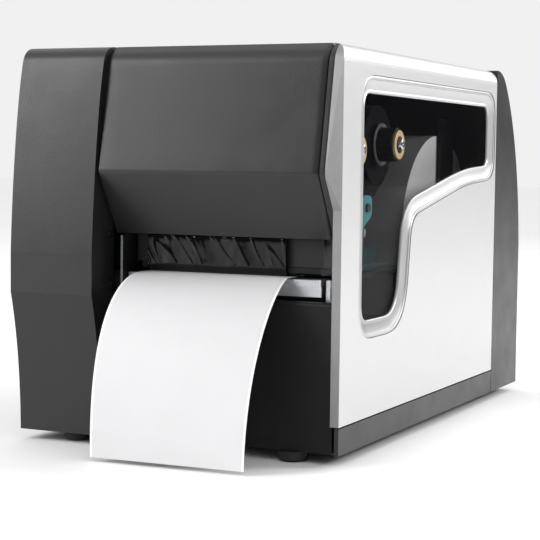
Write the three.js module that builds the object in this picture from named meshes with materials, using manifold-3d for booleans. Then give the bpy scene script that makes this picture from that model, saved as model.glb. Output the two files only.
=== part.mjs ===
// Desktop thermal-transfer label printer with a lift-up media door, as separate solids in millimetres.
// X runs to the right as seen from the front, -Y is the front and Z is up.
// Every place below is given from the middle of the case at table height; the last lines
// move the whole assembly along Y so that its origin is at the middle of its own footprint.
import * as THREE from 'three';
import { mergeVertices } from 'three/addons/utils/BufferGeometryUtils.js';
import Module from 'manifold-3d';

const wasm = await Module();
wasm.setup();

// ---- driving dimensions ----
const HALF_W = 121; // case, 242 wide
const FRONT = -216; // case, 432 deep
const BACK = 216;
const TOP = 277;
const FOOT_H = 7; // height of the case above the table
const WALL = 3; // wall of the moulded covers
const GAP = 0.3; // between parts that touch
const BAY_X = -55; // right side of the left compartment
const DOOR_LEFT = -53.6; // the groove between bezel and door runs from BAY_X to here
const DOOR_RIGHT = 114.5; // right end of the dark door front, where the silver side begins
const DOOR_BACK = 141; // rear edge of the door
const SIDE_FRONT = -196; // front edge of the flat silver side
const HINGE = { x: -51.5, z: TOP - 2.5 }; // door hinge line, along Y
const HINGE_START = { front: -150, rear: 95 }; // front end of each door knuckle
const KNUCKLE = 30; // length of a door knuckle
const FRAME_W = 12; // width of the frame round the window

const PLATEN = { y: -170, z: 112, r: 9.5 };
const MEDIA_Z = PLATEN.z + PLATEN.r + GAP; // underside of the label web in the print nip
const MEDIA_X = [-33, 79]; // 112 mm liner
const FILM_X = [-32, 74]; // ribbon width
const SHEET = 0.35; // thickness that stands for paper and film

const ROLL = { y: 114, z: 138, r: 84, coreOut: 41, coreIn: 38 };
const SUPPLY = { y: -12, z: 213, roll: 30 };
const TAKEUP = { y: -91, z: 208, roll: 19 };
const HEAD_PIVOT = { y: -110, z: 150 };
const LEVER = { y: -122, z: 168 };
const PINION = { y: -100, z: 84 };

// ---- geometry helpers ----
const X = new THREE.Vector3(1, 0, 0);
const Y = new THREE.Vector3(0, 1, 0);
const Z = new THREE.Vector3(0, 0, 1);

function shapeOf(outline, holes = []) {
  const shape = outline instanceof THREE.Shape
    ? outline : new THREE.Shape(outline.map(([u, v]) => new THREE.Vector2(u, v)));
  shape.holes = holes.map((hole) => (hole instanceof THREE.Path
    ? hole : new THREE.Path(hole.map(([u, v]) => new THREE.Vector2(u, v)))));
  return shape;
}

function extrude(shape, depth, segments) {
  return new THREE.ExtrudeGeometry(shape, { depth, bevelEnabled: false, curveSegments: segments });
}

// An outline in (Y, Z), extruded from x0 to x1.
function prismX(outline, x0, x1, holes = [], segments = 10) {
  const g = extrude(shapeOf(outline, holes), x1 - x0, segments);
  g.applyMatrix4(new THREE.Matrix4().makeBasis(Y, Z, X));
  return g.translate(x0, 0, 0);
}

// An outline in (X, Z), extruded from y0 to y1.
function prismY(outline, y0, y1, holes = [], segments = 10) {
  const g = extrude(shapeOf(outline, holes), y1 - y0, segments);
  g.applyMatrix4(new THREE.Matrix4().makeBasis(X, Z, Y.clone().negate()));
  return g.translate(0, y1, 0);
}

// An outline in (X, Y), extruded from z0 to z1.
function prismZ(outline, z0, z1, holes = [], segments = 10) {
  return extrude(shapeOf(outline, holes), z1 - z0, segments).translate(0, 0, z0);
}

function box(x0, x1, y0, y1, z0, z1) {
  const g = new THREE.BoxGeometry(x1 - x0, y1 - y0, z1 - z0);
  return g.translate((x0 + x1) / 2, (y0 + y1) / 2, (z0 + z1) / 2);
}

function circle(u, v, r) {
  return new THREE.Shape().absarc(u, v, r, 0, Math.PI * 2, false);
}

function hole(u, v, r) {
  return new THREE.Path().absarc(u, v, r, 0, Math.PI * 2, true);
}

// A round bar, or a tube where inner is given, along X.
function rodX(c, r, x0, x1, inner = 0, segments = 24) {
  return prismX(circle(c.y, c.z, r), x0, x1, inner ? [hole(c.y, c.z, inner)] : [], segments / 2);
}

// A solid turned about Z from (radius, height) points that start and end on the axis.
function turnedZ(x, y, profile, segments = 32) {
  const g = new THREE.LatheGeometry(profile.map(([r, h]) => new THREE.Vector2(r, h)), segments);
  return g.rotateX(Math.PI / 2).translate(x, y, 0);
}

function roundedRect(u0, u1, v0, v1, r) {
  const s = new THREE.Shape();
  s.moveTo(u0 + r, v0);
  s.lineTo(u1 - r, v0);
  s.absarc(u1 - r, v0 + r, r, -Math.PI / 2, 0, false);
  s.lineTo(u1, v1 - r);
  s.absarc(u1 - r, v1 - r, r, 0, Math.PI / 2, false);
  s.lineTo(u0 + r, v1);
  s.absarc(u0 + r, v1 - r, r, Math.PI / 2, Math.PI, false);
  s.lineTo(u0, v0 + r);
  s.absarc(u0 + r, v0 + r, r, Math.PI, Math.PI * 1.5, false);
  return s;
}

// Rounds the corners of a polygon whose points are [u, v, radius], up to nearly half of each edge.
function roundedPolygon(points) {
  const s = new THREE.Shape();
  const n = points.length;
  points.forEach(([u, v, r = 0], i) => {
    const corner = new THREE.Vector2(u, v);
    const towards = (j) => {
      const edge = new THREE.Vector2(points[j][0], points[j][1]).sub(corner);
      return edge.setLength(Math.min(r, 0.48 * edge.length())).add(corner);
    };
    const before = towards((i + n - 1) % n);
    const after = towards((i + 1) % n);
    if (i === 0) s.moveTo(before.x, before.y);
    else s.lineTo(before.x, before.y);
    if (r) s.quadraticCurveTo(u, v, after.x, after.y);
  });
  s.closePath();
  return s;
}

// Moves every edge of a counter-clockwise [u, v, radius] polygon outwards by one distance.
function grown(points, distance) {
  const n = points.length;
  const normal = (i) => {
    const [ua, va] = points[i];
    const [ub, vb] = points[(i + 1) % n];
    const length = Math.hypot(ub - ua, vb - va);
    return [(vb - va) / length, (ua - ub) / length];
  };
  return points.map(([u, v, r], i) => {
    const [a, b] = normal((i + n - 1) % n);
    const [c, d] = normal(i);
    const turn = a * d - b * c;
    const radius = Math.max(0, r + Math.sign(turn) * distance);
    return [u + (distance * (d - b)) / turn, v + (distance * (a - c)) / turn, radius];
  });
}

// A thin sheet of thickness t whose lower or rear face follows the (Y, Z) path.
function sheetX(path, t, x0, x1) {
  const near = [];
  const far = [];
  path.forEach(([y, z], i) => {
    const [ya, za] = path[Math.max(i - 1, 0)];
    const [yb, zb] = path[Math.min(i + 1, path.length - 1)];
    const length = Math.hypot(yb - ya, zb - za);
    near.push([y, z]);
    far.push([y - ((zb - za) / length) * t, z + ((yb - ya) / length) * t]);
  });
  return prismX([...near, ...far.reverse()], x0, x1);
}

// The point where the line from (y, z) touches a circle; side is 1 or -1.
function tangentPoint(y, z, circleAt, r, side) {
  const dy = circleAt.y - y;
  const dz = circleAt.z - z;
  const far = Math.hypot(dy, dz);
  const reach = Math.sqrt(far * far - r * r);
  const turn = Math.atan2(dz, dy) + side * Math.acos(reach / far);
  return [y + Math.cos(turn) * reach, z + Math.sin(turn) * reach];
}

// ---- booleans ----
function toSolid(geometry) {
  const g = geometry.clone();
  g.deleteAttribute('normal');
  g.deleteAttribute('uv');
  const merged = mergeVertices(g, 1e-4);
  return new wasm.Manifold(new wasm.Mesh({
    numProp: 3,
    vertProperties: new Float32Array(merged.attributes.position.array),
    triVerts: new Uint32Array(merged.index.array),
  }));
}

function toGeometry(solid) {
  const m = solid.getMesh();
  const g = new THREE.BufferGeometry();
  g.setAttribute('position', new THREE.BufferAttribute(new Float32Array(m.vertProperties), 3));
  g.setIndex(new THREE.BufferAttribute(new Uint32Array(m.triVerts), 1));
  g.computeVertexNormals();
  return g;
}

function cut(geometry, ...tools) {
  let solid = toSolid(geometry);
  for (const tool of tools) solid = solid.subtract(toSolid(tool));
  return toGeometry(solid);
}

function join(geometry, ...others) {
  let solid = toSolid(geometry);
  for (const other of others) solid = solid.add(toSolid(other));
  return toGeometry(solid);
}

// ---- materials ----
const FINISH = {
  darkShell: [0x5a5c5e, 0.55, 0.0],
  silverShell: [0xe4e4e4, 0.4, 0.1],
  blackPlastic: [0x151516, 0.5, 0.0],
  smokedWindow: [0x1a1a1c, 0.1, 0.0],
  steel: [0xb9bcc0, 0.35, 0.9],
  brass: [0xb89a5e, 0.3, 0.9],
  rubber: [0x1c1c1c, 0.85, 0.0],
  paper: [0xececec, 0.8, 0.0],
  cardboard: [0xa8885f, 0.9, 0.0],
  film: [0x0c0c0e, 0.15, 0.0],
  board: [0x1f5a38, 0.6, 0.0],
  teal: [0x2a7f86, 0.5, 0.0],
};

const printer = new THREE.Group();

function add(name, finish, geometry) {
  const [color, roughness, metalness] = FINISH[finish];
  const mesh = new THREE.Mesh(geometry, new THREE.MeshStandardMaterial({ color, roughness, metalness }));
  mesh.name = name;
  printer.add(mesh);
}

// ---- case ----
// The front of the left compartment: convex above, drawn in below.
function bezelFront(inset) {
  const s = new THREE.Shape();
  s.moveTo(-186, FOOT_H + inset);
  s.lineTo(-203 + inset, FOOT_H + inset);
  s.quadraticCurveTo(-204 + inset, 62, FRONT + inset, 106);
  s.lineTo(FRONT + inset, 134);
  s.bezierCurveTo(-214 + inset, 185, -208 + inset, 240, -201 + inset, 267);
  s.quadraticCurveTo(-198 + inset, TOP - inset, -186, TOP - inset);
  s.closePath();
  return s;
}

function makeCase() {
  const trayTop = 24;
  const tray = box(-117.5, 117.5, -185.7, 212.5, FOOT_H, trayTop);
  add('base_tray', 'blackPlastic', cut(tray, box(-115, 115, -183, 210, FOOT_H + WALL, trayTop + 1)));

  for (const [side, x] of [['left', -84], ['right', 84]]) {
    for (const [end, y] of [['front', -186], ['rear', 168]]) {
      const profile = [[0, 0], [8, 0], [9.5, 1.5], [9.5, FOOT_H - GAP], [0, FOOT_H - GAP]];
      add(`foot_${end}_${side}`, 'rubber', turnedZ(x, y, profile));
    }
  }

  const bezelInside = prismX(bezelFront(WALL), -HALF_W + WALL, BAY_X - WALL, [], 24);
  const behind = box(-HALF_W + WALL, BAY_X - WALL, -190, -180, FOOT_H + WALL, TOP - WALL);
  const screwHoles = [113, 147].map((z) => rodX({ y: -191, z }, 3, BAY_X - 4, BAY_X + 1));
  const bezel = prismX(bezelFront(0), -HALF_W, BAY_X, [], 24);
  add('front_bezel', 'darkShell', cut(bezel, bezelInside, behind, ...screwHoles));

  // Left side and top of the electronics compartment.
  const inner = HALF_W - WALL;
  const coverOutline = new THREE.Shape();
  coverOutline.moveTo(-HALF_W, FOOT_H);
  coverOutline.lineTo(-inner, FOOT_H);
  coverOutline.lineTo(-inner, TOP - 10);
  coverOutline.quadraticCurveTo(-inner, TOP - WALL, -inner + 7, TOP - WALL);
  coverOutline.lineTo(BAY_X, TOP - WALL);
  coverOutline.lineTo(BAY_X, TOP);
  coverOutline.lineTo(-HALF_W + 10, TOP);
  coverOutline.quadraticCurveTo(-HALF_W, TOP, -HALF_W, TOP - 10);
  const vents = [];
  for (let i = 0; i < 9; i += 1) {
    vents.push(box(-HALF_W - 1, -inner + 1, 40 + i * 9, 44 + i * 9, 60, 110));
  }
  const cover = prismY(coverOutline, -186 + GAP, DOOR_BACK);
  add('electronics_cover', 'darkShell', cut(cover, ...vents));

  const lowerFront = roundedPolygon([
    [-192, FOOT_H], [-186, FOOT_H], [-186, 104], [-184.7, 104], [-184.7, 107], [-192, 107, 3]]);
  add('lower_front_cover', 'blackPlastic', prismX(lowerFront, BAY_X + GAP, DOOR_RIGHT));

  const rearOutline = (inset) => {
    const s = new THREE.Shape();
    const bottom = inset ? FOOT_H - 1 : FOOT_H;
    s.moveTo(DOOR_BACK + 1 - inset, bottom);
    s.lineTo(BACK - inset, bottom);
    s.lineTo(BACK - inset, 130);
    s.bezierCurveTo(211 - inset, 195, 190 - inset, 240 - inset, 169 - inset, 264 - inset);
    s.quadraticCurveTo(159 - inset, TOP - inset, DOOR_BACK + 1 - inset, TOP - inset);
    s.closePath();
    return s;
  };
  const portCut = prismY(roundedRect(-113, -59, 26, 128, 3), BACK - WALL - 1, BACK + 1);
  const shell = prismX(rearOutline(0), -HALF_W, HALF_W, [], 24);
  const hollow = prismX(rearOutline(WALL), -inner, inner, [], 24);
  add('rear_housing', 'darkShell', cut(shell, hollow, portCut));

  add('base_sill', 'darkShell', box(118, HALF_W, SIDE_FRONT, DOOR_BACK, FOOT_H, 25));

  // Main wall that carries the print mechanism and the spindles. It rises between the hinges.
  const hingeRoom = 7.5;
  const ridgeFront = HINGE_START.front + KNUCKLE + hingeRoom;
  const ridgeRear = HINGE_START.rear - hingeRoom;
  const wallOutline = [
    [-180, 25], [200, 25], [200, 160], [150, 255], [120, 264], [ridgeRear, 264], [ridgeRear, 271],
    [ridgeFront, 271], [ridgeFront, 264], [-165, 264], [-180, 220]];
  const wall = prismX(wallOutline, -50, -47, [
    hole(PLATEN.y, PLATEN.z, 5.5),
    hole(SUPPLY.y, SUPPLY.z, 6.5),
    hole(TAKEUP.y, TAKEUP.z, 6.5),
    hole(PINION.y, PINION.z, 12),
  ]);
  add('centre_wall', 'steel', wall);
}

// ---- rear connectors and electronics ----
function makeElectronics() {
  const plateY = BACK - WALL - GAP;
  const plate = prismY(roundedRect(-114, -58, 25, 129, 2), plateY - 1.5, plateY, [
    roundedRect(-100, -72, 32, 56, 0.5),
    roundedRect(-93, -79, 64, 86, 0.5),
    roundedRect(-93, -79, 92, 104, 0.5),
    roundedRect(-95, -77, 110, 125, 0.5),
  ], 3);
  add('rear_panel', 'steel', plate);

  // Sockets: a body with a blind hollow that opens to the rear.
  const socket = (name, finish, x0, x1, z0, z1, depth, rim, tongue) => {
    const body = box(x0 + GAP, x1 - GAP, plateY - depth, BACK - WALL + 1, z0 + GAP, z1 - GAP);
    const hollow = box(x0 + rim, x1 - rim, plateY - depth + 3, BACK + 2, z0 + rim, z1 - rim);
    const shape = cut(body, hollow);
    add(name, finish, tongue ? join(shape, ...tongue) : shape);
  };
  const blade = (x, z) => box(x - 1, x + 1, plateY - 16, plateY - 2, z - 2.5, z + 2.5);
  socket('power_inlet', 'blackPlastic', -100, -72, 32, 56, 18, 3, [
    blade(-93, 44), blade(-79, 44), blade(-86, 48)]);
  socket('usb_port', 'steel', -93, -79, 92, 104, 14, 1.2, [
    box(-89, -83, plateY - 12, plateY - 2, 98.7, 100.7)]);
  socket('network_port', 'steel', -95, -77, 110, 125, 16, 1.6);

  const rocker = roundedPolygon([[-7, -5.5], [7, -5.5], [10.5, 4, 1], [0, 1.6], [-10.5, 4, 1]]);
  const key = prismX(rocker, -92.4, -79.6).rotateX(-Math.PI / 2).translate(0, plateY + 0.5, 75);
  add('power_rocker', 'blackPlastic', key);

  add('power_supply', 'steel', box(-115, -62, 60, 150, 26, 96));
  add('circuit_board', 'board', box(-108, -106.4, -110, 130, 118, 240));
  const corner = 5;
  const motor = prismX(roundedPolygon([
    [PINION.y - 28, PINION.z - 28, corner], [PINION.y + 28, PINION.z - 28, corner],
    [PINION.y + 28, PINION.z + 28, corner], [PINION.y - 28, PINION.z + 28, corner]]),
  -112, -66, [hole(PINION.y, PINION.z, 3.5)]);
  add('stepper_motor', 'steel', cut(motor, box(-113, -110, PINION.y - 40, PINION.y + 40, 40, 130)));
  add('motor_pinion', 'brass', join(
    rodX(PINION, 2.5, -109.5, -52), rodX(PINION, 6.4, -62, -53)));
}

// ---- platen and belt ----
function makePlaten() {
  const pulley = 7.4;
  add('platen_shaft', 'steel', rodX(PLATEN, 4, -64, 109));
  add('platen_roller', 'rubber', rodX(PLATEN, PLATEN.r, -43, 101, 4 + GAP, 40));
  add('platen_pulley', 'blackPlastic', rodX(PLATEN, pulley, -62, -53, 4 + GAP));

  // Closed belt round both pulleys, between straight runs that touch each circle.
  const loop = (extra) => {
    const a = PLATEN;
    const b = PINION;
    const ra = pulley + extra;
    const rb = 6.4 + extra;
    const far = Math.hypot(b.y - a.y, b.z - a.z);
    const along = Math.atan2(b.z - a.z, b.y - a.y);
    const open = Math.acos((ra - rb) / far);
    const s = new THREE.Shape();
    s.absarc(a.y, a.z, ra, along + open, along - open + Math.PI * 2, false);
    s.absarc(b.y, b.z, rb, along - open, along + open, false);
    s.closePath();
    return s;
  };
  add('drive_belt', 'rubber', prismX(loop(1.9), -61.5, -53.5, [loop(GAP)], 16));

  const plate = prismX([[-191, 106], [-152, 106], [-152, 143], [-160, 147], [-191, 147]],
    -46.7, -45, [hole(PLATEN.y, PLATEN.z, 4.4)]);
  add('head_side_plate', 'steel', cut(plate, box(-50, -40, -193, -180.5, 100, 110)));
  add('outer_bearing_plate', 'steel', prismX(
    [[-180, 25], [-156, 25], [-156, 118], [-160, 121], [-180, 121]], 104, 107,
    [hole(PLATEN.y, PLATEN.z, 4.4)]));

  const tooth = 2;
  const blade = [[-44, MEDIA_Z - 5]];
  for (let x = -44; x <= 100; x += tooth) blade.push([x, MEDIA_Z - 1.2], [x + tooth / 2, MEDIA_Z - GAP]);
  blade.push([102, MEDIA_Z - 1.2], [102, MEDIA_Z - 5]);
  add('tear_bar', 'steel', join(
    prismY(blade, -184.4, -183),
    box(-44, 102, -183.5, -180.6, MEDIA_Z - 12, MEDIA_Z - 4)));
}

// ---- media roll, guides and the label web ----
function makeMedia() {
  const [x0, x1] = MEDIA_X;
  add('label_roll', 'paper', rodX(ROLL, ROLL.r, x0, x1, ROLL.coreOut + GAP, 72));
  add('roll_core', 'cardboard', rodX(ROLL, ROLL.coreOut, x0, x1, ROLL.coreIn, 48));

  const top = ROLL.z + 35.4;
  const bar = prismX(roundedPolygon([
    [ROLL.y - 12, top - 14, 2], [ROLL.y + 12, top - 14, 2], [ROLL.y + 12, top, 5], [ROLL.y - 12, top, 5]]),
  -46.7, 102);
  const endStop = box(98, 102, ROLL.y - 12, ROLL.y + 12, top - 14, top + 10);
  add('media_hanger', 'blackPlastic', join(bar, endStop));

  const arm = roundedPolygon([
    [ROLL.y - 3, ROLL.z - 55, 8], [ROLL.y + 29, ROLL.z - 55, 8],
    [ROLL.y + 29, ROLL.z + 98, 12], [ROLL.y - 3, ROLL.z + 98, 5]]);
  const collar = roundedRect(ROLL.y - 17, ROLL.y + 17, top - 19, top + 5, 3);
  const slot = box(70, 99, ROLL.y - 12.5, ROLL.y + 12.5, top - 14.5, top + 0.5);
  add('media_guide', 'blackPlastic', cut(
    join(prismX(arm, x1 + 1, x1 + 4), prismX(collar, x1 + 1, x1 + 10)), slot));

  // Web tray with the gap sensor, under the label path.
  const trayTop = MEDIA_Z - 1;
  add('web_tray', 'blackPlastic', prismX(roundedPolygon([
    [-110, trayTop - 3], [1, trayTop - 3], [8, trayTop - 9, 3], [12, trayTop - 6, 3], [6, trayTop, 4],
    [-110, trayTop]]), -46.7, 102));
  add('gap_sensor', 'blackPlastic', box(-46.7, 100, -140, -122, trayTop - 9, trayTop));

  const guideBase = box(x1 + 0.8, x1 + 14, -80, -30, trayTop + GAP, trayTop + 3);
  const guideLip = box(x1 + 0.8, x1 + 3, -80, -30, trayTop + 1, trayTop + 16);
  add('edge_guide', 'teal', join(guideBase, guideLip));

  const [ty, tz] = tangentPoint(14, MEDIA_Z - 7, ROLL, ROLL.r + GAP + SHEET, -1);
  const web = [[ty, tz], [14, MEDIA_Z - 7], [12, MEDIA_Z - 3.4], [9, MEDIA_Z - 0.8], [4, MEDIA_Z]];
  web.push([-160, MEDIA_Z]);
  add('label_web', 'paper', sheetX(web.reverse(), SHEET, x0, x1));

  // The printed strip leaves over the tear bar and hangs down in front, clear of the table.
  const lip = new THREE.Vector2(-187, MEDIA_Z);
  const hang = new THREE.CubicBezierCurve(
    lip, new THREE.Vector2(-213, MEDIA_Z - 4), new THREE.Vector2(-252, 88), new THREE.Vector2(-252, 2.5));
  const strip = [[-160 - GAP, MEDIA_Z], ...hang.getPoints(22).map((p) => [p.x, p.y])];
  add('label_strip', 'paper', sheetX(strip.reverse(), SHEET, x0, x1));
}

// ---- ribbon ----
function makeSpindle(kind, at) {
  add(`${kind}_shaft`, 'steel', rodX(at, 5, -64, 88.7));
  const flange = rodX(at, 16.5, 75, 77, 5 + GAP, 36);
  add(`${kind}_hub`, 'blackPlastic', join(rodX(at, 13, -44, 90, 5 + GAP, 36), flange));
  add(`${kind}_ring`, 'brass', rodX(at, 11, 90 + GAP, 92, 4.5, 36));
  add(`${kind}_ribbon`, 'film', rodX(at, at.roll, FILM_X[0], FILM_X[1], 13 + GAP, 48));
}

function makeRibbon() {
  makeSpindle('supply', SUPPLY);
  makeSpindle('takeup', TAKEUP);

  const guide = { y: -104, z: MEDIA_Z + SHEET + 2 * GAP + SHEET + 4.2 };
  add('ribbon_guide_rod', 'steel', rodX(guide, 4, -46.7, 84));
  const filmZ = MEDIA_Z + SHEET + GAP;
  const under = [guide.y + 5, guide.z - 1.5];
  const [ty, tz] = tangentPoint(under[0], under[1], SUPPLY, SUPPLY.roll + GAP + SHEET, -1);
  const rear = [[-166, filmZ], [guide.y, filmZ], [guide.y + 3.2, filmZ + 1], under, [ty, tz]];
  add('ribbon_film_rear', 'film', sheetX(rear, SHEET, ...FILM_X));

  const bend = [-179, 150];
  const [uy, uz] = tangentPoint(bend[0], bend[1], TAKEUP, TAKEUP.roll + GAP + SHEET, 1);
  const front = [[uy, uz], bend, [-178.6, 128], [-177.4, filmZ + 0.6], [-176, filmZ], [-166.4, filmZ]];
  add('ribbon_film_front', 'film', sheetX(front, SHEET, ...FILM_X));
}

// ---- print head and its lever ----
function makeHead() {
  const bottom = MEDIA_Z + 2 * SHEET + 2 * GAP;
  add('thermal_head', 'blackPlastic', prismX(
    [[-175.5, bottom + 1.5], [-173.5, bottom], [-156, bottom], [-156, 128.4], [-175.5, 128.4]], -38, 98));
  const bracket = prismX(roundedPolygon([
    [-175, 128.7], [-150, 128.7], [-142, 134], [-103, 141, 3], [-103, 158, 4], [-118, 158, 3],
    [-140, 149], [-175, 149, 2]]), -42, 100, [hole(HEAD_PIVOT.y, HEAD_PIVOT.z, 3.4)]);
  add('head_bracket', 'steel', bracket);
  add('head_pivot_shaft', 'steel', rodX(HEAD_PIVOT, 3, -46.7, 103));

  [['inner', -6], ['outer', 64]].forEach(([name, x]) => {
    const z = 149 + GAP;
    const profile = [[0, z], [9, z], [9, z + 9], [7.5, z + 11], [0, z + 11]];
    add(`pressure_dial_${name}`, 'teal', turnedZ(x, -158, profile, 24));
  });

  // The lever turns on its own stub beside the head.
  const post = prismX([
    [LEVER.y - 7, 124], [LEVER.y + 7, 124], [LEVER.y + 7, LEVER.z + 6], [LEVER.y - 7, LEVER.z + 6]],
  102, 104.5);
  add('lever_post', 'steel', join(rodX(LEVER, 3, 102, 111), post));
  const arm = roundedPolygon([
    [LEVER.y + 9, LEVER.z - 6, 5], [LEVER.y + 9, LEVER.z + 8, 5], [LEVER.y - 4, LEVER.z + 9, 4],
    [-170, 152, 6], [-172, 141, 5], [-160, 140, 4]]);
  add('head_lever', 'teal', prismX(arm, 105, 109.5, [hole(LEVER.y, LEVER.z, 3.3)]));
}

// ---- media door ----
function makeDoor() {
  const inner = HALF_W - WALL;
  // Silver side and top as one bent shell, rounded along the top edge.
  const round = 12;
  const bend = new THREE.Shape();
  bend.moveTo(HALF_W, 26);
  bend.lineTo(HALF_W, TOP - round);
  bend.quadraticCurveTo(HALF_W, TOP, HALF_W - round, TOP);
  bend.lineTo(HINGE.x + 2.5, TOP);
  bend.lineTo(HINGE.x + 2.5, TOP - WALL);
  bend.lineTo(HALF_W - round, TOP - WALL);
  bend.quadraticCurveTo(inner, TOP - WALL, inner, TOP - round);
  bend.lineTo(inner, 26);
  bend.closePath();
  const bentShell = prismY(bend, -186, DOOR_BACK);

  // Front edge of the side, which follows the door front and is bevelled towards it.
  const cornerLeft = DOOR_RIGHT - 20;
  const edge = roundedPolygon([
    [-184, 26], [SIDE_FRONT, 26], [SIDE_FRONT, 168], [-211, 191, 4], [-196, 270, 5], [-188, TOP, 3],
    [-184, TOP]]);
  const bevel = prismZ([
    [HALF_W + 1, SIDE_FRONT], [HALF_W, SIDE_FRONT], [DOOR_RIGHT, -212], [DOOR_RIGHT, -220],
    [HALF_W + 1, -220]], 0, TOP + 1);
  const corner = prismY(roundedPolygon([
    [cornerLeft, 0], [HALF_W, 0], [HALF_W, TOP, round], [cornerLeft, TOP]]), -230, -170);
  const edgeStrip = toSolid(prismX(edge, DOOR_RIGHT + GAP, HALF_W))
    .subtract(toSolid(bevel)).intersect(toSolid(corner));

  // Window: a shaped opening in a frame that sits in a pocket. The lower edge rises to the rear.
  const opening = [
    [-152, 92, 12], [-84, 92, 24], [-72, 171, 28], [64, 195, 40], [126, 198, 9], [126, 246, 9],
    [-152, 246, 11]];
  const outline = (distance) => roundedPolygon(grown(opening, distance));
  const pocket = prismX(outline(FRAME_W + GAP), inner - 2, HALF_W + 1, [], 8);
  let shell = toSolid(bentShell).add(edgeStrip).subtract(toSolid(pocket));
  for (const y of Object.values(HINGE_START)) {
    const notch = box(HINGE.x - 3, HINGE.x + 7, y - 7, y + KNUCKLE + 7, TOP - 9, TOP + 1);
    const barrel = prismY(circle(HINGE.x, HINGE.z, 2.4), y, y + KNUCKLE);
    const leaf = box(HINGE.x, HINGE.x + 8, y, y + KNUCKLE, TOP - WALL, TOP - 0.6);
    const bore = prismY(circle(HINGE.x, HINGE.z, 1.8), y - 1, y + KNUCKLE + 1);
    shell = shell.subtract(toSolid(notch)).add(toSolid(barrel)).add(toSolid(leaf)).subtract(toSolid(bore));
  }
  add('door_shell', 'silverShell', toGeometry(shell));

  const frameBack = 116.4;
  add('window_frame', 'silverShell', prismX(outline(FRAME_W), frameBack, HALF_W - 0.6, [outline(0)], 8));
  add('door_window', 'smokedWindow', prismX(outline(FRAME_W - 3), inner - 3.8, frameBack - GAP, [], 8));

  // Dark door front: a bent skin with its overhang, closed at both ends.
  const skin = roundedPolygon([
    [-186.5, TOP, 2], [-196, 270, 7], [-211, 191, 3], [-185, 148, 1], [-182, 149.5, 1], [-206.5, 190, 2],
    [-192.5, 268, 6], [-186.5, TOP - WALL]]);
  const end = roundedPolygon([
    [-188.5, TOP - 2], [-194, 268], [-209, 191], [-186.5, 151], [-186.5, TOP - 2]]);
  add('door_front', 'darkShell', join(
    prismX(skin, DOOR_LEFT, DOOR_RIGHT),
    prismX(end, DOOR_LEFT, DOOR_LEFT + WALL),
    prismX(end, DOOR_RIGHT - WALL, DOOR_RIGHT)));

  // Fixed hinge pins, held at both ends by brackets on the main wall.
  for (const [place, y] of Object.entries(HINGE_START)) {
    const pin = prismY(circle(HINGE.x, HINGE.z, 1.5), y - 5, y + KNUCKLE + 5);
    const bracket = box(-53.5, -47.5, y - 6, y + KNUCKLE + 6, 264 + GAP, TOP - 0.5);
    const space = box(-60, -40, y - 0.8, y + KNUCKLE + 0.8, 268.5, TOP + 1);
    add(`hinge_bracket_${place}`, 'steel', join(cut(bracket, space), pin));
  }
}

makeCase();
makeElectronics();
makePlaten();
makeMedia();
makeRibbon();
makeHead();
makeDoor();

// Put the origin at the middle of the footprint, at table height.
const footprint = new THREE.Box3().setFromObject(printer);
printer.position.y = -footprint.getCenter(new THREE.Vector3()).y;

export default printer;
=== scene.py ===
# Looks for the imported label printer: moulded shells, painted side, smoked window, paper, film and metal.
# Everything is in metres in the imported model's frame: +X right, -Y front, +Z up.
import math

import bmesh
import bpy
from mathutils import Matrix, Vector, noise


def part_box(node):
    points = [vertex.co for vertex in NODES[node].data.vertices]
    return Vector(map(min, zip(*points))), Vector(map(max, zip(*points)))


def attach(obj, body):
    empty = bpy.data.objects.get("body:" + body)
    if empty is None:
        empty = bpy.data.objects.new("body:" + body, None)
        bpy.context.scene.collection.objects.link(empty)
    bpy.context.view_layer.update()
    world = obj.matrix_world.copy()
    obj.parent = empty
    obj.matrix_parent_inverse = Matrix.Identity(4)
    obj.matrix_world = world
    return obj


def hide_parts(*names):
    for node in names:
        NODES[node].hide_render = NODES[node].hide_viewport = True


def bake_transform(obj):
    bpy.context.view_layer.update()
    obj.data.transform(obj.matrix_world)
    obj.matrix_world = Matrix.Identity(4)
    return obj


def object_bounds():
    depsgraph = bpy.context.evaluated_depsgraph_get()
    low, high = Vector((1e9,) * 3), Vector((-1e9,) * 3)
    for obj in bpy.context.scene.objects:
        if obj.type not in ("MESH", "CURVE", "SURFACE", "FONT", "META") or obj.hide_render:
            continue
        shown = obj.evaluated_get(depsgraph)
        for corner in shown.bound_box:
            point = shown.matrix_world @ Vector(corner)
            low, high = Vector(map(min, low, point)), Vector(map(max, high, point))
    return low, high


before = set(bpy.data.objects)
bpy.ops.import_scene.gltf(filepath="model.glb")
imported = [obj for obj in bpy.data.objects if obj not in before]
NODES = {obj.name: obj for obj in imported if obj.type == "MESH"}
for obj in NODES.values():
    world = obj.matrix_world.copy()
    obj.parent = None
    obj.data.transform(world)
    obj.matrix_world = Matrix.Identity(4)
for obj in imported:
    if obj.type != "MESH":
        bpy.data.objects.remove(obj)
CAD_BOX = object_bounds()
ROLL_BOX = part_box("label_roll")
ROLL_BEHIND = 0.114  # how far the label roll's axis lies behind the case's middle
MID_Y = (ROLL_BOX[0].y + ROLL_BOX[1].y) / 2 - ROLL_BEHIND  # the case's middle in the frame


def at(x, y, z):
    """A point given in millimetres from the case's middle at table height."""
    return Vector((x / 1000, y / 1000 + MID_Y, z / 1000))


# ---- camera ----
CAMERA = {"azimuth": 24.836, "pitch": 3.946, "roll": 0.73, "distance": 1.2605, "height": 0.2002,
          "sideways": -0.0186, "lens": 106.26}


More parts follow.
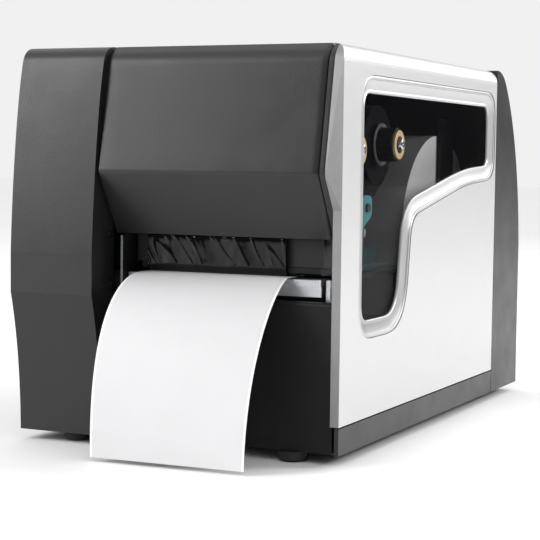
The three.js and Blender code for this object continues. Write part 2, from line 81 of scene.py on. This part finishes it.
def make_camera():
    azimuth = math.radians(CAMERA["azimuth"])
    forward = Vector((-math.sin(azimuth), math.cos(azimuth), 0))
    right = Vector((math.cos(azimuth), math.sin(azimuth), 0))
    place = -forward * CAMERA["distance"] + right * CAMERA["sideways"]
    data = bpy.data.cameras.new("camera")
    data.lens = CAMERA["lens"]
    data.sensor_width = 36
    data.clip_end = 60
    camera = bpy.data.objects.new("camera", data)
    bpy.context.scene.collection.objects.link(camera)
    turn = (Matrix.Rotation(azimuth, 4, "Z")
            @ Matrix.Rotation(math.radians(90 - CAMERA["pitch"]), 4, "X")
            @ Matrix.Rotation(math.radians(CAMERA["roll"]), 4, "Z"))
    camera.matrix_world = Matrix.Translation((place.x, place.y + MID_Y, CAMERA["height"])) @ turn
    bpy.context.scene.camera = camera


# ---- studio ----
def area_light(name, place, target, size, power, tint=(1, 1, 1)):
    data = bpy.data.lights.new(name, "AREA")
    data.shape = "RECTANGLE"
    data.size, data.size_y = size
    data.energy = power
    data.color = tint
    light = bpy.data.objects.new(name, data)
    bpy.context.scene.collection.objects.link(light)
    light.location = place
    light.rotation_euler = (Vector(target) - Vector(place)).to_track_quat("-Z", "Y").to_euler()


def make_world():
    """A dome that is bright overhead, dim near the horizon, and plain white where it is seen directly."""
    overhead, horizon, seen = 1.15, 0.06, 0.88
    world = bpy.data.worlds.new("studio")
    world.use_nodes = True
    nodes, links = world.node_tree.nodes, world.node_tree.links
    coords = nodes.new("ShaderNodeTexCoord")
    split = nodes.new("ShaderNodeSeparateXYZ")
    links.new(coords.outputs["Generated"], split.inputs["Vector"])
    dome = remap(nodes, links, split.outputs["Z"], horizon, overhead, 0.1, 0.7)
    pick = nodes.new("ShaderNodeMix")
    pick.data_type = "FLOAT"
    links.new(nodes.new("ShaderNodeLightPath").outputs["Is Camera Ray"], pick.inputs["Factor"])
    links.new(dome, pick.inputs["A"])
    pick.inputs["B"].default_value = seen
    background = nodes["Background"]
    background.inputs["Color"].default_value = (1, 1, 1, 1)
    links.new(pick.outputs["Result"], background.inputs["Strength"])
    bpy.context.scene.world = world


def make_studio():
    make_world()
    bpy.context.scene.view_settings.view_transform = "Standard"
    area_light("key_left", (-1.7, -1.77, 1.15), (0, 0, 0.15), (0.85, 1.7), 43)
    area_light("side_right", (1.1, 1.95, 1.15), (0.1, 0, 0.15), (1.6, 1.2), 17.5)
    area_light("window_spot", (1.3, 0.55, 0.75), (0.05, 0.05, 0.18), (0.3, 0.3), 9)

    mesh = bpy.data.meshes.new("floor")
    half = 12
    corners = [(-half, -half, 0), (half, -half, 0), (half, half, 0), (-half, half, 0)]
    mesh.from_pydata(corners, [], [(0, 1, 2, 3)])
    floor = bpy.data.objects.new("floor", mesh)
    bpy.context.scene.collection.objects.link(floor)
    floor.location.z = CAD_BOX[0].z - 0.0002
    pale = surface("pale_floor", (0.95, 0.95, 0.95), 0.6, grain=(300, 0.02), mottle=(2, 0.01))
    mesh.materials.append(pale)


# ---- materials ----
def new_material(name):
    material = bpy.data.materials.new(name)
    material.use_nodes = True
    return material, material.node_tree.nodes, material.node_tree.links


def noise_node(nodes, links, coords, scale, detail=3, stretch=None):
    source = coords
    if stretch:
        mapping = nodes.new("ShaderNodeMapping")
        mapping.inputs["Scale"].default_value = stretch
        links.new(source, mapping.inputs["Vector"])
        source = mapping.outputs["Vector"]
    node = nodes.new("ShaderNodeTexNoise")
    node.inputs["Scale"].default_value = scale
    node.inputs["Detail"].default_value = detail
    links.new(source, node.inputs["Vector"])
    return node.outputs["Fac"]


def remap(nodes, links, value, low, high, start=0.3, end=0.7):
    node = nodes.new("ShaderNodeMapRange")
    node.inputs["From Min"].default_value = start
    node.inputs["From Max"].default_value = end
    node.inputs["To Min"].default_value = low
    node.inputs["To Max"].default_value = high
    links.new(value, node.inputs["Value"])
    return node.outputs["Result"]


def shades(nodes, links, value, color, amount, start=0.3, end=0.7):
    """A colour that runs from a little darker to a little lighter with value."""
    ramp = nodes.new("ShaderNodeValToRGB")
    dark = [c * (1 - amount) for c in color] + [1]
    light = [min(1, c * (1 + amount)) for c in color] + [1]
    ramp.color_ramp.elements[0].position = start
    ramp.color_ramp.elements[0].color = dark
    ramp.color_ramp.elements[1].position = end
    ramp.color_ramp.elements[1].color = light
    links.new(value, ramp.inputs["Fac"])
    return ramp.outputs["Color"]


def surface(name, color, rough, metal=0.0, grain=(900, 0.1), mottle=(25, 0.08), rough_swing=0.05,
            stretch=None, coat=0.0, specular=0.5, alpha=1.0, grain_depth=0.0002):
    """One finish: colour mottling, roughness variation and a fine grain in the surface."""
    material, nodes, links = new_material(name)
    shader = nodes["Principled BSDF"]
    coords = nodes.new("ShaderNodeTexCoord").outputs["Object"]
    shader.inputs["Metallic"].default_value = metal
    shader.inputs["Specular IOR Level"].default_value = specular
    shader.inputs["Coat Weight"].default_value = coat
    shader.inputs["Coat Roughness"].default_value = 0.12
    shader.inputs["Alpha"].default_value = alpha
    cloud = noise_node(nodes, links, coords, mottle[0], 4)
    links.new(shades(nodes, links, cloud, color, mottle[1]), shader.inputs["Base Color"])
    fine = noise_node(nodes, links, coords, grain[0], 2, stretch)
    worn = noise_node(nodes, links, coords, mottle[0] * 3.1, 5, stretch)
    links.new(remap(nodes, links, worn, rough - rough_swing, rough + rough_swing), shader.inputs["Roughness"])
    bump = nodes.new("ShaderNodeBump")
    bump.inputs["Strength"].default_value = grain[1]
    bump.inputs["Distance"].default_value = grain_depth
    links.new(fine, bump.inputs["Height"])
    links.new(bump.outputs["Normal"], shader.inputs["Normal"])
    return material


def roll_face():
    """Wound paper seen edge on: fine rings round the roll's axis."""
    material, nodes, links = new_material("wound_paper")
    shader = nodes["Principled BSDF"]
    coords = nodes.new("ShaderNodeTexCoord").outputs["Object"]
    low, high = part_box("label_roll")
    centre = (low + high) / 2
    mapping = nodes.new("ShaderNodeMapping")
    mapping.vector_type = "POINT"
    mapping.inputs["Location"].default_value = (0, -centre.y, -centre.z)
    links.new(coords, mapping.inputs["Vector"])
    rings = nodes.new("ShaderNodeTexWave")
    rings.wave_type = "RINGS"
    rings.rings_direction = "X"
    rings.inputs["Scale"].default_value = 190
    rings.inputs["Distortion"].default_value = 0.6
    rings.inputs["Detail"].default_value = 3
    links.new(mapping.outputs["Vector"], rings.inputs["Vector"])
    links.new(shades(nodes, links, rings.outputs["Fac"], (0.9, 0.9, 0.91), 0.1, 0.0, 1.0),
              shader.inputs["Base Color"])
    shader.inputs["Roughness"].default_value = 0.8
    bump = nodes.new("ShaderNodeBump")
    bump.inputs["Strength"].default_value = 0.25
    bump.inputs["Distance"].default_value = 0.0002
    links.new(rings.outputs["Fac"], bump.inputs["Height"])
    links.new(bump.outputs["Normal"], shader.inputs["Normal"])
    return material


def make_materials():
    brushed = (1, 1, 40)
    return {
        "charcoal": surface("charcoal_moulding", (0.015, 0.0153, 0.0158), 0.34, grain=(1300, 0.45),
                            mottle=(14, 0.09), specular=0.4),
        "silver": surface("silver_paint", (0.64, 0.64, 0.645), 0.4, metal=0.55, grain=(1500, 0.2),
                          mottle=(40, 0.008), coat=0.15, rough_swing=0.012),
        # A darker copy of the silver paint: painted shade for the door shell's front-facing facets, which are
        # the same paint as the side.
        "silver_painted_shade": surface("silver_paint_painted_shade", (0.26, 0.26, 0.265), 0.45, metal=0.7, grain=(1500, 0.4),
                               mottle=(60, 0.06)),
        "silver_frame": surface("silver_paint_frame", (0.5, 0.5, 0.505), 0.36, metal=0.7, grain=(1500, 0.15),
                                mottle=(40, 0.01), coat=0.15, rough_swing=0.012),
        "black": surface("black_moulding", (0.008, 0.008, 0.009), 0.45, grain=(1300, 0.3), mottle=(30, 0.2),
                         specular=0.2),
        "black_steel": surface("black_painted_steel", (0.009, 0.009, 0.010), 0.42, grain=(700, 0.2),
                               mottle=(20, 0.2), specular=0.3),
        "steel": surface("brushed_steel", (0.56, 0.57, 0.59), 0.32, metal=1.0, grain=(220, 0.12),
                         mottle=(60, 0.06), stretch=brushed, rough_swing=0.09),
        "brass": surface("yellow_plated_ring", (0.95, 0.72, 0.38), 0.42, metal=0.3, grain=(600, 0.1),
                         mottle=(60, 0.06), rough_swing=0.06),
        "rubber": surface("black_rubber", (0.02, 0.02, 0.02), 0.8, grain=(500, 0.3), mottle=(80, 0.2)),
        "paper": surface("label_paper", (0.68, 0.68, 0.69), 0.5, grain=(1800, 0.06), mottle=(50, 0.012)),
        "liner": surface("liner_edge", (0.93, 0.93, 0.93), 0.35, grain=(900, 0.05), mottle=(50, 0.01)),
        "roll": roll_face(),
        "cardboard": surface("wound_board", (0.36, 0.26, 0.16), 0.85, grain=(400, 0.4), mottle=(120, 0.15)),
        "film": surface("ribbon_film", (0.003, 0.003, 0.004), 0.11, grain=(160, 0.1), mottle=(30, 0.3),
                        rough_swing=0.03, grain_depth=0.0006, specular=0.25),
        "wound_film": surface("wound_film", (0.004, 0.004, 0.005), 0.55, grain=(900, 0.25), mottle=(60, 0.3),
                              specular=0.1),
        "board": surface("solder_mask", (0.02, 0.13, 0.06), 0.35, grain=(300, 0.3), mottle=(200, 0.3)),
        "teal": surface("touch_point_moulding", (0.03, 0.22, 0.24), 0.4, grain=(1100, 0.1),
                        mottle=(30, 0.06)),
        "smoke": surface("smoked_acrylic", (0.012, 0.012, 0.014), 0.06, grain=(30, 0.015), mottle=(20, 0.1),
                         rough_swing=0.02, specular=0.12, alpha=0.15),
        "grey": surface("grey_moulding", (0.22, 0.22, 0.225), 0.4, grain=(900, 0.1), mottle=(40, 0.1)),
        # A darker grey for the label roll's outer face: painted shade where the roll's rim lies in shadow,
        # not a different paper.
        "roll_rim_painted_shade": surface("roll_rim_painted_shade", (0.4, 0.4, 0.41), 0.5, grain=(900, 0.1), mottle=(60, 0.05),
                               stretch=(40, 1, 1)),
        "bright_zinc": surface("bright_zinc", (0.78, 0.79, 0.8), 0.16, metal=1.0, grain=(500, 0.05),
                               mottle=(90, 0.08), rough_swing=0.03),
        "dark_metal": surface("dark_zinc", (0.10, 0.10, 0.105), 0.4, metal=0.9, grain=(500, 0.1),
                              mottle=(90, 0.1)),
    }


MATERIALS = make_materials()

CAD_FINISH = {
    "charcoal": "base_sill front_bezel electronics_cover rear_housing",
    "silver": "door_shell",
    "smoke": "door_window",
    "black": "base_tray lower_front_cover media_hanger media_guide web_tray gap_sensor supply_hub takeup_hub "
             "platen_pulley power_inlet power_rocker thermal_head",
    "black_steel": "centre_wall head_bracket lever_post",
    "steel": "rear_panel usb_port network_port power_supply platen_shaft head_side_plate "
             "outer_bearing_plate tear_bar supply_shaft takeup_shaft ribbon_guide_rod head_pivot_shaft "
             "hinge_bracket_front hinge_bracket_rear",
    "dark_metal": "stepper_motor",
    "brass": "supply_ring takeup_ring motor_pinion",
    "rubber": "foot_front_left foot_front_right foot_rear_left foot_rear_right platen_roller drive_belt",
    "cardboard": "roll_core",
    "roll": "label_roll",
    "wound_film": "supply_ribbon takeup_ribbon",
    "board": "circuit_board",
    "teal": "head_lever pressure_dial_inner pressure_dial_outer edge_guide",
}
SOFT_EDGE = {
    "front_bezel": 1.2, "rear_housing": 1.2, "electronics_cover": 1.0, "door_shell": 0.9, "base_sill": 0.6,
    "lower_front_cover": 0.8, "supply_ring": 0.5, "takeup_ring": 0.5, "supply_hub": 0.5, "takeup_hub": 0.5,
    "label_roll": 0.8, "media_guide": 0.6, "power_rocker": 0.6,
}
SHARP = math.radians(28)
SOFT_SHEET = math.radians(60)


def round_edges(obj, width):
    """Merges the flat faces and rounds the real edges, with the CAD mesh itself left alone."""
    merge = obj.modifiers.new("flat_faces", "DECIMATE")
    merge.decimate_type = "DISSOLVE"
    merge.angle_limit = math.radians(0.6)
    bevel = obj.modifiers.new("edge_radius", "BEVEL")
    bevel.width = width / 1000
    bevel.segments = 3
    bevel.limit_method = "ANGLE"
    bevel.angle_limit = SHARP
    bevel.harden_normals = True


def shade_smooth(obj, angle=SHARP):
    obj.data.shade_smooth()
    obj.data.set_sharp_from_angle(angle=angle)


def second_finish(name, finish, chosen):
    """Gives the faces whose normal is chosen another finish."""
    mesh = NODES[name].data
    mesh.materials.append(MATERIALS[finish])
    for face in mesh.polygons:
        face.material_index = int(chosen(face.normal))


def dress_cad():
    for finish, names in CAD_FINISH.items():
        for name in names.split():
            obj = NODES[name]
            obj.data.materials.clear()
            obj.data.materials.append(MATERIALS[finish])
            shade_smooth(obj)
            round_edges(obj, SOFT_EDGE.get(name, 0.3))
    second_finish("head_side_plate", "black_steel", lambda normal: normal.y > -0.9)
    # The door shell's front-facing faces get the darker silver copy: painted shade.
    second_finish("door_shell", "silver_painted_shade", lambda normal: normal.y < -0.3)
    # The roll's outer face gets the darker grey: painted shade.
    second_finish("label_roll", "roll_rim_painted_shade", lambda normal: abs(normal.x) < 0.5)


# ---- mesh helpers ----
def piece(name, verts, faces, finish, body, replaces=(), smooth=SHARP):
    mesh = bpy.data.meshes.new(name)
    mesh.from_pydata([tuple(v) for v in verts], [], faces)
    mesh.validate()
    work = bmesh.new()
    work.from_mesh(mesh)
    bmesh.ops.recalc_face_normals(work, faces=work.faces)
    work.to_mesh(mesh)
    work.free()
    mesh.materials.append(MATERIALS[finish])
    obj = bpy.data.objects.new(name, mesh)
    bpy.context.scene.collection.objects.link(obj)
    shade_smooth(obj, smooth)
    if body:
        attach(obj, body)
    if replaces:
        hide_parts(*replaces)
    return obj


def grid_faces(rows, columns, start=0, wrap=False):
    """Quads over rows x columns points; wrap joins the last column to the first."""
    faces = []
    for r in range(rows - 1):
        for c in range(columns if wrap else columns - 1):
            a, b = start + r * columns + c, start + r * columns + (c + 1) % columns
            faces.append((a, b, b + columns, a + columns))
    return faces


def join_rings(a, b, count):
    """Quads from the ring of points that starts at a to the one that starts at b."""
    faces = []
    for k in range(count):
        n = (k + 1) % count
        faces.append((a + k, a + n, b + n, b + k))
    return faces


def shell_faces(rows, columns):
    """Two grids one after the other, outer then inner, joined round their border into a closed shell."""
    count = rows * columns
    faces = grid_faces(rows, columns)
    faces += [tuple(reversed(f)) for f in grid_faces(rows, columns, count)]
    border = [c for c in range(columns)]
    border += [r * columns + columns - 1 for r in range(1, rows)]
    border += [(rows - 1) * columns + c for c in range(columns - 2, -1, -1)]
    border += [r * columns for r in range(rows - 2, 0, -1)]
    for i, a in enumerate(border):
        b = border[(i + 1) % len(border)]
        faces.append((b, a, a + count, b + count))
    return faces


def rounded_path(points, steps, closed=False):
    """A path through [u, v, radius] corners, each rounded by a quadratic arc."""
    path = []
    last = len(points) - 1
    for i, (u, v, radius) in enumerate(points):
        corner = Vector((u, v))
        if not closed and i in (0, last):
            path.append(corner)
            continue
        ends = []
        for j in (i - 1, (i + 1) % len(points)):
            edge = Vector(points[j][:2]) - corner
            ends.append(corner + edge.normalized() * min(radius, 0.48 * edge.length))
        for k in range(steps + 1):
            t = k / steps
            path.append(ends[0] * (1 - t) ** 2 + corner * 2 * t * (1 - t) + ends[1] * t * t)
    return path


def refined(path, longest):
    """The same path with long straight runs divided."""
    fine = [path[0]]
    for a, b in zip(path, path[1:]):
        parts = max(1, math.ceil((b - a).length / longest))
        fine += [a.lerp(b, k / parts) for k in range(1, parts + 1)]
    return fine


def path_normals(path):
    """Unit normals to the left of the way the path runs."""
    normals = []
    for i in range(len(path)):
        run = path[min(i + 1, len(path) - 1)] - path[max(i - 1, 0)]
        normals.append(Vector((-run.y, run.x)).normalized())
    return normals


def run_length(path):
    """A path's length in metres, from points in millimetres."""
    return sum((b - a).length for a, b in zip(path, path[1:])) / 1000


def turned(name, centre, axis, profile, finish, body, segments=40):
    """A solid of revolution from (radius, height) points in millimetres.

    A profile that starts on the axis ends there too, and any other is a closed ring section.
    """
    spin = Vector(axis).to_track_quat("Z", "Y")
    closed = profile[0][0] > 0
    verts = []
    for radius, height in profile:
        for k in range(segments):
            a = 2 * math.pi * k / segments
            verts.append(centre + spin @ Vector((radius * math.cos(a), radius * math.sin(a), height)) / 1000)
    faces = grid_faces(len(profile), segments, wrap=True)
    if closed:
        faces += join_rings((len(profile) - 1) * segments, 0, segments)
    obj = piece(name, verts, faces, finish, body)
    if not closed:
        work = bmesh.new()
        work.from_mesh(obj.data)
        bmesh.ops.remove_doubles(work, verts=work.verts, dist=1e-6)
        bmesh.ops.recalc_face_normals(work, faces=work.faces)
        work.to_mesh(obj.data)
        work.free()
        shade_smooth(obj)
    return obj


# ---- dark door front ----
FRONT_PROFILE = [(-186.5, 276.9, 0), (-196, 270, 7), (-211, 191, 2.2), (-185, 148.3, 0)]
DOOR_LEFT, DOOR_RIGHT = -53.6, 114.5
SKIN = 2.6
GROOVE_START, GROOVE_END, GROOVE_DEPTH = 106, 110.4, 3.6
END_EASE = [0, 0.1, 0.3, 0.6, 0.95, 1.3]  # distances in from either end where the skin rounds over


def front_inset(x):
    """How far the skin lies back from its outline: rounded ends, and a groove before the right lip."""
    edge = 1.1
    left, right = x - DOOR_LEFT, DOOR_RIGHT - x
    if left < edge:
        return edge - math.sqrt(max(0, edge * edge - (edge - left) ** 2))
    if x < GROOVE_START:
        return 0
    if x <= GROOVE_END:
        t = (x - GROOVE_START) / (GROOVE_END - GROOVE_START)
        return GROOVE_DEPTH * (1 - math.sqrt(max(0, 1 - t * t)))
    if right > edge:
        return 0.7
    return 0.7 + edge - math.sqrt(max(0, edge * edge - (edge - right) ** 2))


def make_door_front():
    groove = GROOVE_END - GROOVE_START
    stops = [DOOR_LEFT + e for e in END_EASE]
    stops += [-40 + 12 * k for k in range(13)]
    stops += [GROOVE_START + groove * math.sin(math.radians(a)) for a in range(0, 91, 10)]
    stops += [GROOVE_END + 0.3, 112]
    stops += [DOOR_RIGHT - e for e in reversed(END_EASE)]
    path = refined(rounded_path(FRONT_PROFILE, 8), 14)
    normals = path_normals(path)
    outer, inner = [], []
    for x in stops:
        inset = front_inset(x)
        for point, normal in zip(path, normals):
            skin = point + normal * inset
            under = point + normal * max(SKIN, inset + 1.0)
            outer.append(at(x, skin.x, skin.y))
            inner.append(at(x, under.x, under.y))
    piece("door_front_skin", outer + inner, shell_faces(len(stops), len(path)), "charcoal", "media_door",
          ["door_front"], math.radians(35))


# ---- window frame ----
OPENING = [(-152, 92, 12), (-84, 92, 24), (-72, 171, 28), (64, 195, 40), (126, 198, 9), (126, 246, 9),
           (-152, 246, 11)]


def window_outline(grow):
    """The opening's outline with every edge moved outwards by grow."""
    count = len(OPENING)
    normals = []
    for (ua, va, _), (ub, vb, _) in zip(OPENING, OPENING[1:] + OPENING[:1]):
        normals.append(Vector((vb - va, ua - ub)).normalized())
    corners = []
    for i, (u, v, radius) in enumerate(OPENING):
        (a, b), (c, d) = normals[(i - 1) % count], normals[i]
        turn = a * d - b * c
        fitted = max(0, radius + math.copysign(grow, turn))
        corners.append((u + grow * (d - b) / turn, v + grow * (a - c) / turn, fitted))
    return rounded_path(corners, 14, closed=True)


def make_window_frame():
    # (distance out from the opening, height across the door) round the frame's section
    section = [(12, 116.5), (12, 120.2), (11.8, 120.6), (11.3, 120.8), (9.8, 120.8), (9.4, 120.6),
               (9.0, 119.7), (8.4, 119.4), (2.6, 118.1), (2.1, 118.4), (1.5, 118.6), (0.7, 118.4),
               (0.2, 118.0), (0, 117.5), (0, 116.5)]
    verts = []
    for grow, x in section:
        verts += [at(x, p.x, p.y) for p in window_outline(grow)]
    count = len(window_outline(0))
    faces = grid_faces(len(section), count, wrap=True)
    faces += join_rings((len(section) - 1) * count, 0, count)
    piece("window_bezel", verts, faces, "silver_frame", "media_door", ["window_frame"],
          math.radians(22))


# ---- hanging label strip ----
STRIP_COLUMNS, STRIP_STEPS = 25, 56


def bezier(a, b, c, d, t):
    s = 1 - t
    return a * s ** 3 + b * 3 * s * s * t + c * 3 * s * t * t + d * t ** 3


def strip_curve(across):
    """The strip's run in (Y, Z) at a share across its width: it bows further out on the left."""
    low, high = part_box("label_strip")
    nip = Vector(((high.y - MID_Y) * 1000, high.z * 1000 - 0.35))
    lip = Vector((-187, nip.y))
    left = [lip, Vector((-218, nip.y)), Vector((-256, 96)), Vector((-253, 2.6))]
    right = [lip, Vector((-206, nip.y - 6)), Vector((-249, 74)), Vector((-251, 2.6))]
    knots = [a.lerp(b, across) for a, b in zip(left, right)]
    run = [nip.lerp(lip, k / 6) for k in range(6)]
    return run + [bezier(*knots, k / STRIP_STEPS) for k in range(STRIP_STEPS + 1)]


def strip_layer(name, finish, margin, lift, thick):
    """A closed layer of the strip, margin (m) in from its edges and lift (mm) above its back."""
    low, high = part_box("label_strip")
    outer, inner = [], []
    for c in range(STRIP_COLUMNS):
        share = c / (STRIP_COLUMNS - 1)
        x = (low.x + margin) * (1 - share) + (high.x - margin) * share
        path = strip_curve((x - low.x) / (high.x - low.x))
        for point, normal in zip(path, path_normals(path)):
            shown, hidden = point - normal * (lift + thick), point - normal * lift
            outer.append(at(x * 1000, shown.x, shown.y))
            inner.append(at(x * 1000, hidden.x, hidden.y))
    faces = shell_faces(STRIP_COLUMNS, len(path))
    return piece(name, outer + inner, faces, finish, "chassis", smooth=SOFT_SHEET)


def make_label_strip():
    liner = strip_layer("strip_liner", "liner", 0, 0, 0.12)
    face = strip_layer("strip_label_face", "paper", 0.0016, 0.14, 0.10)
    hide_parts("label_strip")


# ---- ribbon and label web inside ----
ROLL, ROLL_R = Vector((114, 138)), 84
SUPPLY, SUPPLY_R = Vector((-12, 213)), 30
TAKEUP, TAKEUP_R = Vector((-91, 208)), 19
WEB_Z, FILM_Z = 121.8, 122.45  # undersides of the label web and of the ribbon in the print nip


def tangent_point(point, centre, radius, side):
    """Where a straight run from point meets a roll."""
    away = centre - point
    reach = math.sqrt(away.length_squared - radius * radius)
    turn = math.atan2(away.y, away.x) + side * math.acos(reach / away.length)
    return point + Vector((math.cos(turn), math.sin(turn))) * reach


def no_wrinkle(x, point):
    return 0


def web(name, node, finish, corners, fineness, columns, thick, wrinkle=no_wrinkle, body=None):
    """A thin closed web along a (Y, Z) path over the CAD sheet's width, lifted by wrinkle(x, point)."""
    low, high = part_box(node)
    path = refined(rounded_path(corners, 6), fineness)
    normals = path_normals(path)
    outer, inner = [], []
    for c in range(columns):
        share = c / (columns - 1)
        x = 1000 * (low.x * (1 - share) + high.x * share)
        for point, normal in zip(path, normals):
            near = point + normal * wrinkle(x, point)
            far = near + normal * thick
            outer.append(at(x, near.x, near.y))
            inner.append(at(x, far.x, far.y))
    faces = shell_faces(columns, len(path))
    obj = piece(name, outer + inner, faces, finish, body, [node], SOFT_SHEET)
    return obj, (high.x - low.x, run_length(path))


def crumple(x, point, depth):
    """Soft upright folds with a few thin creases, in millimetres."""
    broad = noise.noise(Vector((x / 15 + point.y * 0.03, point.y / 90, 1.7)))
    narrow = noise.noise(Vector((x / 6.5 - point.y * 0.04, point.y / 60, 8.2)))
    nearby = noise.noise(Vector((x / 9 + point.y * 0.06, point.y / 40, 5.6)))
    crease = max(0, 1 - 9 * abs(nearby))
    return depth * (0.75 * broad + 0.26 * narrow + 0.3 * crease)


def fade(value, start, run):
    """0 up to start, rising to 1 over run."""
    return min(1, max(0, (value - start) / run))


def make_front_film():
    bend = Vector((-179, 150))
    top = tangent_point(bend, TAKEUP, TAKEUP_R + 0.65, 1)
    corners = [(top.x, top.y, 0), (-179.2, 151, 6), (-178.8, 127, 1.5), (-176.4, FILM_Z, 1.2),
               (-166.5, FILM_Z, 0)]

    def wrinkle(x, point):
        return -crumple(x, point, fade(point.y, FILM_Z + 0.5, 5) * fade(-point.y, -top.y, 20))

    film, flat = web("ribbon_front_web", "ribbon_film_front", "film", corners, 1.6, 190, 0.12,
                     wrinkle)
    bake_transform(film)


def make_rear_film():
    under = Vector((-99, 125.8))
    top = tangent_point(under, SUPPLY, SUPPLY_R + 0.65, -1)
    corners = [(-166, FILM_Z, 0), (-103, FILM_Z, 3), (under.x, under.y, 2), (top.x, top.y, 0)]

    def wrinkle(x, point):
        return -0.5 * crumple(x, point, fade(point.y, 128, 12) * fade(-point.y, -top.y, 20))

    film, flat = web("ribbon_rear_web", "ribbon_film_rear", "film", corners, 3, 90, 0.12,
                     wrinkle)
    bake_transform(film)


def make_inner_web():
    dip = Vector((14, WEB_Z - 7))
    top = tangent_point(dip, ROLL, ROLL_R + 0.65, -1)
    corners = [(-160, WEB_Z, 0), (2, WEB_Z, 6), (dip.x, dip.y, 5), (top.x, top.y, 0)]
    sheet, flat = web("label_inner_web", "label_web", "paper", corners, 6, 12, 0.25, body="chassis")


# ---- small hardware ----
SINK = Vector((0.0002, 0, 0))  # how far an end screw and its collar sit in the ring
FLANGE_X = 0.0771  # outer face of the spindle flanges
PORT_X = -86  # middle of both ports, in millimetres


def pan_screw(name, centre, axis, radius, height, body="chassis", finish="dark_metal"):
    """A pan-head screw with a dished recess, its head standing on centre."""
    shape = [(0, 0), (1, 0), (1, 0.35), (0.86, 0.8), (0.55, 1), (0.36, 1), (0.2, 0.35), (0, 0.3)]
    profile = [(radius * across, height * up) for across, up in shape]
    return turned(name, centre, axis, profile, finish, body, 24)


def make_hardware():
    for name, z in (("lower", 113), ("upper", 147)):
        pan_screw(f"bezel_screw_{name}", at(-57.8, -191, z), (1, 0, 0), 2.5, 1.6)
    for kind in ("supply", "takeup"):
        body = f"ribbon_{kind}"
        low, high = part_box(f"{kind}_ring")
        centre = Vector((high.x, (low.y + high.y) / 2, (low.z + high.z) / 2))
        pan_screw(f"{kind}_end_screw", centre - SINK, (1, 0, 0), 4.8, 3.2, body, "bright_zinc")
        collar = [(0, 0), (6.6, 0), (6.6, 0.3), (6.2, 0.5), (0, 0.5)]
        turned(f"{kind}_end_collar", centre - SINK, (1, 0, 0), collar, "black", body)
        rim = [(13.4, 0), (16.4, 0), (16.4, 0.5), (15.9, 0.9), (14.2, 0.9), (13.4, 0.5)]
        flange = Vector((FLANGE_X, centre.y, centre.z))
        turned(f"{kind}_flange_face", flange, (1, 0, 0), rim, "grey", body, 56)
    for side, x in (("left", -112), ("right", 112)):
        for z in (16, 136):
            pan_screw(f"rear_screw_{side}_{z}", at(x, 215.2, z), (0, 1, 0), 3.2, 1.4)
    for k, (y, z) in enumerate(((-170, 16), (-20, 16), (125, 16))):
        pan_screw(f"cover_screw_{k}", at(-121, y, z), (-1, 0, 0), 3.2, 1.8)


def contact_bars(name, places, width, depth, thick):
    """Bent metal strips that run back from each place."""
    profile = [(0, 0), (depth * 0.5, 0.3 * thick), (depth * 0.85, 1.6 * thick), (depth, thick),
               (depth, 0.2 * thick), (depth * 0.8, 0.7 * thick), (depth * 0.45, -0.6 * thick), (0, -thick)]
    count = len(profile)
    verts, faces = [], []
    for x, y, z in places:
        start = len(verts)
        for side in (-width / 2, width / 2):
            verts += [at(x + side, y + run, z + rise) for run, rise in profile]
        faces.append(tuple(range(start, start + count)))
        faces.append(tuple(range(start + 2 * count - 1, start + count - 1, -1)))
        for k in range(count):
            n = (k + 1) % count
            faces.append((start + k, start + count + k, start + count + n, start + n))
    piece(name, verts, faces, "brass", "chassis")


def make_contacts():
    """Eight sprung contacts in the network port and the leaf springs of the USB port."""
    network = [(PORT_X + 1.1 * (k - 3.5), 200.2, 121.6) for k in range(8)]
    usb = [(PORT_X + 1.2 * (k - 1.5), 202.0, 98.3) for k in range(4)]
    contact_bars("network_contacts", network, 0.5, 8, 0.5)
    contact_bars("usb_contacts", usb, 0.7, 7, 0.25)


make_camera()
make_studio()
dress_cad()
make_door_front()
make_window_frame()
make_label_strip()
make_front_film()
make_rear_film()
make_inner_web()
make_hardware()
make_contacts()
